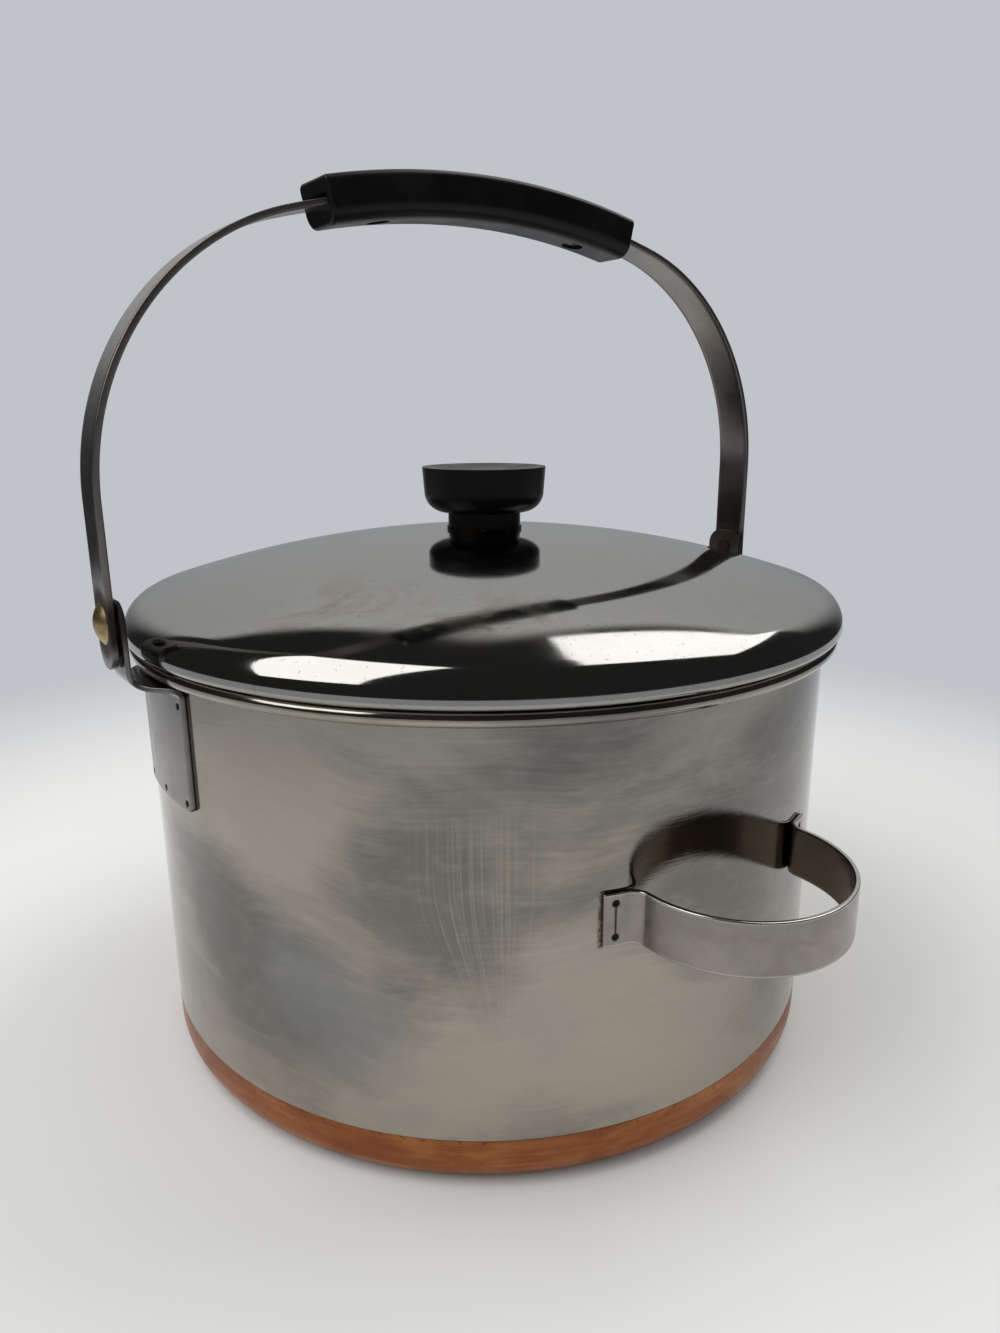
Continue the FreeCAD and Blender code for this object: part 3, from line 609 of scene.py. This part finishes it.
def phenolic_finish(name, colours, along, shine):
    """Black moulded phenolic, dulled by handling, with fine scuffs and specks of filler."""
    finish = Finish(name)
    handled = finish.noise((38, 38, 38), 4.0, 0.6, 0.5)
    filler = finish.noise((1900, 1900, 1900), 2.0, 0.6)
    scuff = finish.noise(along, 3.0, 0.6, 0.3)
    dull = handled.smooth(0.38, 0.68)
    scuffed = scuff.smooth(0.62, 0.74) * dull
    base = finish.blend(scuffed * 0.35 + dull * 0.06, colours.phenolic, colours.scuff)
    base = finish.blend(filler.smooth(0.66, 0.74) * 0.2, base, colours.scuff)
    rough = 0.28 + dull * 0.12 + scuffed * 0.12
    normal = finish.bump(filler + handled * 3.0, 0.012 * MM)
    return finish.set(Base_Color=base, Roughness=rough, Normal=normal, Specular_IOR_Level=shine)


def left_of(u, v, heading, distance):
    """The point at a distance to the left of a heading, or to its right if negative."""
    return u - distance * sin(heading), v + distance * cos(heading)


class Trace:
    """Straight runs and arcs in a plane, each tangent to the last, kept as points with a heading."""

    def __init__(self, u, v, heading):
        self.points = [(u, v, heading)]
        self.run = [0.0]

    def add(self, u, v, heading):
        last_u, last_v = self.points[-1][:2]
        self.run.append(self.run[-1] + hypot(u - last_u, v - last_v))
        self.points.append((u, v, heading))

    def line(self, distance, pace):
        u, v, heading = self.points[-1]
        count = max(1, ceil(distance / pace))
        for index in range(1, count + 1):
            part = distance * index / count
            self.add(u + part * cos(heading), v + part * sin(heading), heading)
        return self

    def arc(self, radius, turn, pace):
        """Turns to the left if turn is positive, in steps of about pace along the arc."""
        u, v, heading = self.points[-1]
        side = copysign(radius, turn)
        centre = left_of(u, v, heading, side)
        count = max(LEAST_STEPS, ceil(abs(turn) * radius / pace))
        for index in range(1, count + 1):
            aim = heading + turn * index / count
            self.add(*left_of(*centre, aim, -side), aim)
        return self


def bar_section(thickness, half, edge, across):
    """A bar's section as (depth, width, on the edge) round its four faces, with rounded corners."""
    edge = min(edge, EDGE_OF_THICKNESS * thickness, EDGE_OF_HALF * half)
    deep = thickness / 2 - edge
    wide = half - edge
    points = []
    for depth_side, width_side in ((-1, 1), (1, 1), (1, -1), (-1, -1)):
        first = atan2(width_side, depth_side) + QUARTER / 2
        for index in range(EDGE_STEPS + 1):
            aim = first - QUARTER * index / EDGE_STEPS
            points.append((depth_side * deep + edge * cos(aim),
                           width_side * wide + edge * sin(aim), 1.0))
        if width_side == depth_side:
            for index in range(1, across):
                along = width_side * wide * (1 - 2 * index / across)
                points.append((depth_side * thickness / 2, along, 0.0))
    return points


def strip(name, trace, half_at, thickness, edge, across, place, relief=lambda run, width: 0.0):
    """A strip of sheet along a trace, with rounded edges and ends, as wide as half_at says.

    Relief is how deep its outer face is pressed in, at a run along the trace and a place across it."""
    stations = []
    whole = trace.run[-1]
    for (u, v, heading), run in zip(trace.points, trace.run):
        if edge < run < whole - edge:
            stations.append((u, v, heading, run, 0.0))
    for side, (u, v, heading) in ((1, trace.points[0]), (-1, trace.points[-1])):
        rounded = []
        for index in range(EDGE_STEPS + 1):
            aim = QUARTER * index / EDGE_STEPS
            run = edge * (1 - sin(aim))
            inset = edge * (1 - cos(aim))
            shift = side * run
            rounded.append((u + shift * cos(heading), v + shift * sin(heading), heading,
                            run if side > 0 else whole - run, inset))
        stations = rounded[::-1] + stations if side > 0 else stations + rounded
    mesh = bmesh.new()
    edge_mark = mesh.verts.layers.float.new("edge")
    dent_mark = mesh.verts.layers.float.new("dent")
    inside_mark = mesh.verts.layers.float.new("inside")
    rings = []
    for u, v, heading, run, inset in stations:
        ring = []
        section = bar_section(thickness - 2 * inset, half_at(run) - inset, edge, across)
        for depth, width, on_edge in section:
            outer = depth < 0
            pressed = relief(run, width) if outer else 0.0
            depth = depth + pressed
            vert = mesh.verts.new(place(*left_of(u, v, heading, depth), width))
            vert[edge_mark] = on_edge
            vert[dent_mark] = pressed / MM
            vert[inside_mark] = 0.0 if outer else 1.0 - on_edge
            ring.append(vert)
        rings.append(ring)
    for one, two in zip(rings, rings[1:]):
        for index in range(len(one)):
            following = (index + 1) % len(one)
            mesh.faces.new((one[index], one[following], two[following], two[index]))
    mesh.faces.new(rings[0])
    mesh.faces.new(rings[-1])
    bmesh.ops.recalc_face_normals(mesh, faces=mesh.faces)
    return shown(name, mesh)


def turned(name, trace, inner_at, outer_at, sides, wobble=0.0):
    """A full turn of a sheet about the pot's axis, with a thickness to the left and right of its trace.

    An end that isn't on the axis is rounded. Wobble is how far it is out of round at its top."""
    left = []
    right = []
    for (u, v, heading), run in zip(trace.points, trace.run):
        for line, offset in ((left, inner_at(run)), (right, -outer_at(run))):
            line.append(left_of(u, v, heading, offset))
    outline = left + nose(left[-1], right[-1]) + right[::-1]
    open_at_axis = trace.points[0][0] < TOUCHING
    if not open_at_axis:
        outline = outline + nose(right[0], left[0])
    top = max(v for u, v in outline)
    mesh = bmesh.new()
    rings = []
    for index in range(sides):
        aim = 2 * pi * index / sides
        oval = wobble * sum(part * cos(waves * aim + start) for waves, part, start in WOBBLE_WAVES)
        ring = []
        for u, v in outline:
            reach = u + oval * (v / top) if u > TOUCHING else u
            ring.append(mesh.verts.new((reach * cos(aim), reach * sin(aim), v)))
        rings.append(ring)
    for one, two in zip(rings, rings[1:] + rings[:1]):
        for index in range(len(outline) - (1 if open_at_axis else 0)):
            following = (index + 1) % len(outline)
            mesh.faces.new((one[index], one[following], two[following], two[index]))
    bmesh.ops.remove_doubles(mesh, verts=mesh.verts, dist=TOUCHING)
    bmesh.ops.recalc_face_normals(mesh, faces=mesh.faces)
    return shown(name, mesh)


def nose(start, end):
    """Points of the half circle that closes a sheet's edge, between its two faces."""
    middle = Vector(start).lerp(Vector(end), 0.5)
    arm = Vector(start) - middle
    points = []
    for index in range(1, NOSE_STEPS):
        aim = -pi * index / NOSE_STEPS
        points.append((middle.x + arm.x * cos(aim) - arm.y * sin(aim),
                       middle.y + arm.x * sin(aim) + arm.y * cos(aim)))
    return points


def shown(name, mesh):
    """Turns a mesh under construction into a smooth object of the scene."""
    for face in mesh.faces:
        face.smooth = True
    data = bpy.data.meshes.new(name)
    mesh.to_mesh(data)
    mesh.free()
    piece = bpy.data.objects.new(name, data)
    bpy.context.scene.collection.objects.link(piece)
    return piece


def seat(piece, body, node, material):
    """Gives a piece its finish and lets it stand for its CAD node on a body."""
    piece.data.materials.append(material)
    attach(piece, body)
    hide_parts(node)


def dress(material, *nodes):
    """Gives CAD nodes that keep their shape a finish."""
    for node in nodes:
        for slot in frame["nodes"][node].material_slots:
            slot.material = material


def corner_half(half, radius, distance):
    """Half the width of a plate with rounded corners, at a distance from its end."""
    if distance >= radius:
        return half
    return half - radius + sqrt(max(0.0, radius ** 2 - (radius - distance) ** 2))


def dent(away, radius, depth):
    """How deep a round dent is at a distance from its middle."""
    return depth * max(0.0, 1 - (away / radius) ** 2)


class KETTLE_OT_pot(bpy.types.Operator):
    """Turn the pot's shell with its rolled rim"""

    bl_idname = "kettle.pot"
    bl_label = "Pot shell"

    def execute(self, context):
        settings = context.scene.kettle
        pot = settings.pot
        half = pot.wall / 2
        roll = pot.rim_roll - half
        trace = Trace(0, half, 0)
        trace.line(POT_RADIUS - pot.base_corner, 6 * MM).arc(pot.base_corner - half, QUARTER, 0.7 * MM)
        trace.line(COPPER_HIGH.z - pot.base_corner, 4 * MM)
        copper_run = trace.run[-1]
        # Close rings keep the step at the copper's edge sharp
        trace.line(HAIR, MM).line(HAIR, MM).line(4 * HAIR, MM)
        trace.line(POT_HIGH.z - COPPER_HIGH.z - pot.rim_roll - 6 * HAIR, 4 * MM)
        trace.arc(roll, -QUARTER, 0.25 * MM).line(pot.rim_flat, 0.5 * MM).arc(roll, -pi, 0.25 * MM)
        trace.line(roll + pot.rim_flat - half - pot.tuck_gap, 0.5 * MM)

        def outer_at(run):
            return half if run > copper_run + TOUCHING else half - pot.copper

        piece = turned("pot_body", trace, lambda run: half, outer_at, POT_SIDES, pot.wobble)
        seat(piece, "pot", "pot_shell", wall_finish(settings.colours, settings.handle))
        return {"FINISHED"}


class KETTLE_OT_copper(bpy.types.Operator):
    """Turn the copper cup over the pot's base"""

    bl_idname = "kettle.copper"
    bl_label = "Copper base"

    def execute(self, context):
        settings = context.scene.kettle
        pot = settings.pot
        half = pot.copper / 2
        trace = Trace(0, half, 0)
        trace.line(POT_RADIUS - pot.base_corner, 6 * MM).arc(pot.base_corner - half, QUARTER, 0.5 * MM)
        trace.line(COPPER_HIGH.z - pot.base_corner - half - 4 * HAIR, 2 * MM)
        trace.line(3 * HAIR, MM).line(HAIR, MM)
        piece = turned("copper_cup", trace, lambda run: half, lambda run: half, POT_SIDES)
        seat(piece, "pot", "copper_base", copper_finish(settings.colours))
        return {"FINISHED"}


class KETTLE_OT_ears(bpy.types.Operator):
    """Make the two bent sheet ears with their spot welds"""

    bl_idname = "kettle.ears"
    bl_label = "Ears"

    def execute(self, context):
        settings = context.scene.kettle
        ear = settings.ear
        edges = settings.edges
        colours = settings.colours
        material = strip_finish("ear_satin_steel", colours, colours.ear, 0.0, (60, 60, 1500))
        pad_half = EAR_HIGH.y
        ear_half = ear.ear_width / 2
        wall = POT_RADIUS + ear.sheet / 2
        upright = EAR_HIGH.x - ear.sheet / 2
        shelf = upright - wall - ear.lower_bend - ear.upper_bend
        rise = EAR_HIGH.z - EAR_LOW.z - ear.pad_height - ear.upper_bend
        fine = 0.5 * MM
        upright_pace = 4 * fine / 3
        trace = Trace(wall, EAR_LOW.z, QUARTER)
        trace.line(ear.pad_height - ear.lower_bend, fine).arc(ear.lower_bend, -QUARTER, fine)
        trace.line(shelf, fine).arc(ear.upper_bend, QUARTER, fine).line(rise, upright_pace)
        pad_run = ear.pad_height - ear.lower_bend
        narrow_run = pad_run + QUARTER * ear.lower_bend + shelf + QUARTER * ear.upper_bend * EAR_DRAWN
        whole = trace.run[-1]

        def half_at(run):
            if run < pad_run:
                return corner_half(pad_half, ear.pad_corner, run)
            drawn = min(1.0, (run - pad_run) / (narrow_run - pad_run))
            drawn = drawn * drawn * (3 - 2 * drawn)
            half = pad_half + (ear_half - pad_half) * drawn
            return corner_half(half, ear.top_corner, whole - run)

        side = pad_half - ear.weld_inset
        upper = pad_run - ear.weld_inset
        spots = [(ear.weld_inset, across) for across in (-side, 0, side)]
        spots += [(upper, -side), (upper, side)]

        def relief(run, width):
            return max(dent(hypot(run - spot_run, width - across), edges.weld_radius, edges.weld_depth)
                       for spot_run, across in spots)

        for node, turn in (("ear_right", 0.0), ("ear_left", pi)):
            def place(u, v, width, turn=turn):
                round_wall = turn + width / u
                return Vector((u * cos(round_wall), u * sin(round_wall), v))
            name = node.replace("ear", "bail_ear")
            piece = strip(name, trace, half_at, ear.sheet, edges.sheet_edge, EAR_COLUMNS, place, relief)
            seat(piece, "pot", node, material)
        return {"FINISHED"}


class KETTLE_OT_handle(bpy.types.Operator):
    """Make the tilting handle from one bowed strip"""

    bl_idname = "kettle.handle"
    bl_label = "Tilting handle"

    def execute(self, context):
        settings = context.scene.kettle
        handle = settings.handle
        edges = settings.edges
        middle = POT_RADIUS + handle.sheet / 2
        bend_angle, end_angle = pad_angles(handle)
        pad_turn = end_angle - bend_angle
        bend_turn = QUARTER - bend_angle
        aside = Matrix.Rotation(handle.shift / POT_RADIUS, 3, "Z")
        fine = 0.5 * MM
        trace = Trace(-middle * sin(end_angle), -middle * cos(end_angle), -end_angle)
        trace.arc(middle, pad_turn, fine).arc(handle.bend, -bend_turn, fine).line(handle.neck, fine)
        trace.arc(handle.loop_radius, pi, 2 * fine)
        trace.line(handle.neck, fine).arc(handle.bend, -bend_turn, fine).arc(middle, pad_turn, fine)
        whole = trace.run[-1]
        half = (HANDLE_HIGH.z - HANDLE_LOW.z) / 2
        centre_z = (HANDLE_HIGH.z + HANDLE_LOW.z) / 2
        spread = handle.weld_spread / 2

        def relief(run, width):
            away = min(run, whole - run) - handle.pad / 2
            welds = max(dent(hypot(away, width - side), edges.weld_radius, edges.weld_depth)
                        for side in (-spread, spread))
            groove = dent(away, edges.groove_width, edges.groove_depth) if abs(width) < spread else 0.0
            return max(welds, groove)

        def place(u, v, width):
            return aside @ Vector((u, v, centre_z + width))

        colours = settings.colours
        material = strip_finish("handle_satin_steel", colours, colours.handle, 1.0, (40, 40, 1700))
        piece = strip("tilting_handle", trace, lambda run: half, handle.sheet, edges.sheet_edge,
                      HANDLE_COLUMNS, place, relief)
        seat(piece, "pot", "side_handle", material)
        return {"FINISHED"}


class KETTLE_OT_bail(bpy.types.Operator):
    """Make the bail's strap, bent over the pot between its two pivots"""

    bl_idname = "kettle.bail"
    bl_label = "Bail strap"

    def execute(self, context):
        settings = context.scene.kettle
        strap = settings.strap
        span = STRAP_HIGH.x - strap.thickness / 2
        inset = span - strap.shoulder
        turn = QUARTER - 2 * atan(strap.crown_rise / inset)
        crown = strap.shoulder + inset / cos(turn)
        half = STRAP_HIGH.y
        pace = 2 * MM
        fine = 0.25 * MM
        trace = Trace(span, PIVOT_Z - strap.tail, QUARTER)
        trace.line(half, fine).line(strap.tail - half + strap.leg, pace).arc(strap.shoulder, turn, pace)
        trace.arc(crown, pi - 2 * turn, pace).arc(strap.shoulder, turn, pace)
        trace.line(strap.tail - half + strap.leg, pace).line(half, fine)
        whole = trace.run[-1]

        def half_at(run):
            return max(settings.edges.sheet_edge * 2, corner_half(half, half, min(run, whole - run)))

        def place(u, v, width):
            return Vector((u, width, v))

        colours = settings.colours
        material = strip_finish("strap_satin_steel", colours, colours.strap, 0.0, (50, 1900, 50))
        piece = strip("bail_band", trace, half_at, strap.thickness, settings.edges.sheet_edge,
                      STRAP_COLUMNS, place)
        seat(piece, "bail", "bail_strap", material)
        return {"FINISHED"}


class KETTLE_OT_grip(bpy.types.Operator):
    """Finish the two halves of the grip with their screws and inserts"""

    bl_idname = "kettle.grip"
    bl_label = "Grip"

    def execute(self, context):
        colours = context.scene.kettle.colours
        dress(phenolic_finish("phenolic_grip", colours, (90, 900, 900), 0.2), "grip_upper", "grip_lower")
        dress(plated_finish("plated_grip_screw", colours, 0.5), "grip_screws")
        dress(brass_finish("brass_grip_insert", colours, 0.25), "grip_inserts")
        return {"FINISHED"}


class KETTLE_OT_pivots(bpy.types.Operator):
    """Finish the rivets and washers that the bail swings on"""

    bl_idname = "kettle.pivots"
    bl_label = "Pivots"

    def execute(self, context):
        settings = context.scene.kettle
        colours = settings.colours
        outside = EAR_HIGH.x - settings.ear.sheet / 2
        dress(brass_finish("brass_rivet", colours, 0.85, outside), "rivet_right", "rivet_left")
        plated = plated_finish("plated_pivot_washer", colours, 1.4)
        dress(plated, "pivot_washer_right", "pivot_washer_left")
        return {"FINISHED"}


class KETTLE_OT_lid(bpy.types.Operator):
    """Turn the domed lid with its rolled edge and inner skirt"""

    bl_idname = "kettle.lid"
    bl_label = "Lid"

    def execute(self, context):
        settings = context.scene.kettle
        lid = settings.lid
        half = lid.sheet / 2
        radius = LID_HIGH.x
        reach = radius - lid.knuckle
        turn = 2 * atan((lid.rise - lid.knuckle) / reach)
        crown = lid.knuckle + reach / sin(turn) - half
        start = asin(lid.hole / crown)
        skirt = POT_RADIUS - settings.pot.wall - lid.skirt_clearance
        seat_run = radius - lid.edge_roll - skirt - lid.skirt_bend + lid.sheet
        trace = Trace(lid.hole, LID_HIGH.z - half, -start)
        trace.arc(crown, start - turn, 2.5 * MM).arc(lid.knuckle - half, turn - QUARTER, 0.4 * MM)
        trace.arc(lid.edge_roll - half, -QUARTER, 0.25 * MM).line(seat_run, MM)
        trace.arc(lid.skirt_bend - half, QUARTER, 0.3 * MM).line(lid.skirt_depth - lid.skirt_bend, MM)
        piece = turned("lid_dome", trace, lambda run: half, lambda run: half, LID_SIDES)
        seat(piece, "lid", "lid_shell", lid_finish(settings.colours))
        return {"FINISHED"}


class KETTLE_OT_knob(bpy.types.Operator):
    """Finish the lid's knob with the ferrule, screw, washer and insert that hold it"""

    bl_idname = "kettle.knob"
    bl_label = "Knob"

    def execute(self, context):
        colours = context.scene.kettle.colours
        dress(phenolic_finish("phenolic_knob", colours, (700, 700, 120), 0.13), "lid_knob")
        dress(plated_finish("plated_ferrule", colours, 1.45), "knob_ferrule")
        dress(plated_finish("plated_knob_screw", colours, 0.4), "knob_screw", "knob_washer")
        dress(brass_finish("brass_knob_insert", colours, 0.25), "knob_insert")
        return {"FINISHED"}


def floor_finish(stage):
    """A pale table top that fades into the backdrop away from the kettle."""
    finish = Finish("pale_floor")
    cloth = finish.noise((30, 30, 30), 3.0)
    radius = (finish.x * finish.x + finish.y * finish.y) ** 0.5
    fade = radius.smooth(stage.fade_start, stage.fade_end)
    base = finish.blend(cloth * 0.06, stage.floor, stage.backdrop)
    finish.set(Base_Color=base, Roughness=0.75)
    glow = finish.node("ShaderNodeEmission", {}, {"Color": stage.backdrop})
    mixed = finish.node("ShaderNodeMixShader", {}, {0: fade, 2: glow})
    finish.tree.links.new(finish.surface.outputs[0], mixed.socket.node.inputs[1])
    finish.tree.links.new(mixed.socket, finish.tree.nodes["Material Output"].inputs["Surface"])
    return finish.material


def light_room(stage, facing):
    """A pale backdrop behind the kettle, a dim room in front of it, and an even fill."""
    world = bpy.data.worlds.new("studio")
    world.use_nodes = True
    bpy.context.scene.world = world
    nodes = Nodes(world.node_tree)
    path = nodes.node("ShaderNodeLightPath", {}, {}, "Is Camera Ray")
    glossy = path.beside("Is Glossy Ray")
    way = nodes.node("ShaderNodeTexCoord", {}, {}, "Generated")
    swung = nodes.node("ShaderNodeVectorRotate", {"rotation_type": "Z_AXIS"},
                       {"Vector": way, "Angle": facing})
    behind = nodes.node("ShaderNodeSeparateXYZ", {}, {"Vector": swung}, "Y")
    rise = behind.beside("Z")
    level = (1 - rise * rise).most(0.01) ** 0.5
    square = behind / level
    wall = (square + rise * BACKDROP_FLARE).smooth(*BACKDROP_SIDE)
    wall = wall * (1 - (rise - square * BACKDROP_SLOPE).smooth(*BACKDROP_TOP))
    seen = path.most(glossy * wall).most(path.beside("Is Transmission Ray"))
    dim = nodes.blend(glossy.most(path), (stage.fill,) * 3, (stage.room,) * 3)
    shaded = nodes.blend(rise.most(0.0), stage.lower, stage.upper)
    pale = nodes.blend(glossy, stage.backdrop, shaded)
    light = nodes.blend(seen, dim, pale)
    nodes.feed(world.node_tree.nodes["Background"].inputs["Color"], light)


def soft_box(name, lamp, brightness, facing):
    """A soft box that faces the lid, placed by its turn from the camera and its rise."""
    light = bpy.data.lights.new(name, "AREA")
    light.shape = "RECTANGLE"
    light.size = lamp.width
    light.size_y = lamp.height
    light.energy = brightness * pi * lamp.width * lamp.height
    box = bpy.data.objects.new(name, light)
    bpy.context.scene.collection.objects.link(box)
    aim = Matrix.Rotation(facing + lamp.turn, 4, "Z") @ Matrix.Rotation(QUARTER - lamp.rise, 4, "X")
    out = Matrix.Translation((0, 0, lamp.distance)) @ Matrix.Rotation(lamp.tilt, 4, "Z")
    box.matrix_world = Matrix.Translation((0, 0, LID_MIDDLE_Z)) @ aim @ out
    box.visible_camera = False


class KETTLE_OT_stage(bpy.types.Operator):
    """Set up the floor, the soft light and the camera"""

    bl_idname = "kettle.stage"
    bl_label = "Stage"

    def execute(self, context):
        stage = context.scene.kettle.stage
        facing = -stage.bearing
        mesh = bmesh.new()
        nearer = Matrix.Rotation(facing, 4, "Z") @ Matrix.Translation((0, -stage.floor_nearer, 0))
        bmesh.ops.create_circle(mesh, cap_ends=True, segments=FLOOR_SIDES, radius=stage.floor_radius,
                                matrix=nearer)
        floor = shown("floor", mesh)
        floor.data.materials.append(floor_finish(stage))
        light_room(stage, stage.bearing)
        for name, lamp, values in (("left_soft_box", stage.left, LEFT_SOFT_BOX),
                                   ("right_soft_box", stage.right, RIGHT_SOFT_BOX)):
            for key, value in values.items():
                setattr(lamp, key, value)
            soft_box(name, lamp, stage.lamp, facing)
        lens = bpy.data.cameras.new("camera")
        lens.lens = stage.focal / MM
        camera = bpy.data.objects.new("camera", lens)
        context.scene.collection.objects.link(camera)
        turn = Matrix.Rotation(facing, 4, "Z")
        eye = turn @ Vector((0, -stage.distance, stage.height))
        aim = Matrix.Rotation(facing - stage.yaw, 4, "Z") @ Matrix.Rotation(QUARTER - stage.pitch, 4, "X")
        camera.matrix_world = Matrix.Translation(eye) @ aim @ Matrix.Rotation(stage.roll, 4, "Z")
        context.scene.camera = camera
        context.scene.view_settings.view_transform = "Standard"
        return {"FINISHED"}


class KETTLE_PT_panel(bpy.types.Panel):
    """Lists the kettle's pieces in the sidebar"""

    bl_label = "Soup kettle"
    bl_idname = "KETTLE_PT_panel"
    bl_space_type = "VIEW_3D"
    bl_region_type = "UI"
    bl_category = "Kettle"

    def draw(self, context):
        for operator in OPERATORS:
            self.layout.operator(operator.bl_idname)


SETTINGS = (KettlePot, KettleLid, KettleEar, KettleHandle, KettleStrap, KettleEdges, KettleColours,
            KettleLamp, KettleStage, KettleSettings)
OPERATORS = (KETTLE_OT_pot, KETTLE_OT_copper, KETTLE_OT_ears, KETTLE_OT_handle, KETTLE_OT_bail,
             KETTLE_OT_grip, KETTLE_OT_pivots, KETTLE_OT_lid, KETTLE_OT_knob, KETTLE_OT_stage)
CLASSES = SETTINGS + OPERATORS + (KETTLE_PT_panel,)


def register():
    for kind in CLASSES:
        bpy.utils.register_class(kind)
    bpy.types.Scene.kettle = PointerProperty(type=KettleSettings)


def unregister():
    del bpy.types.Scene.kettle
    for kind in reversed(CLASSES):
        bpy.utils.unregister_class(kind)


def main():
    register()
    for operator in OPERATORS:
        family, name = operator.bl_idname.split(".")
        getattr(getattr(bpy.ops, family), name)()


if __name__ == "__main__":
    main()
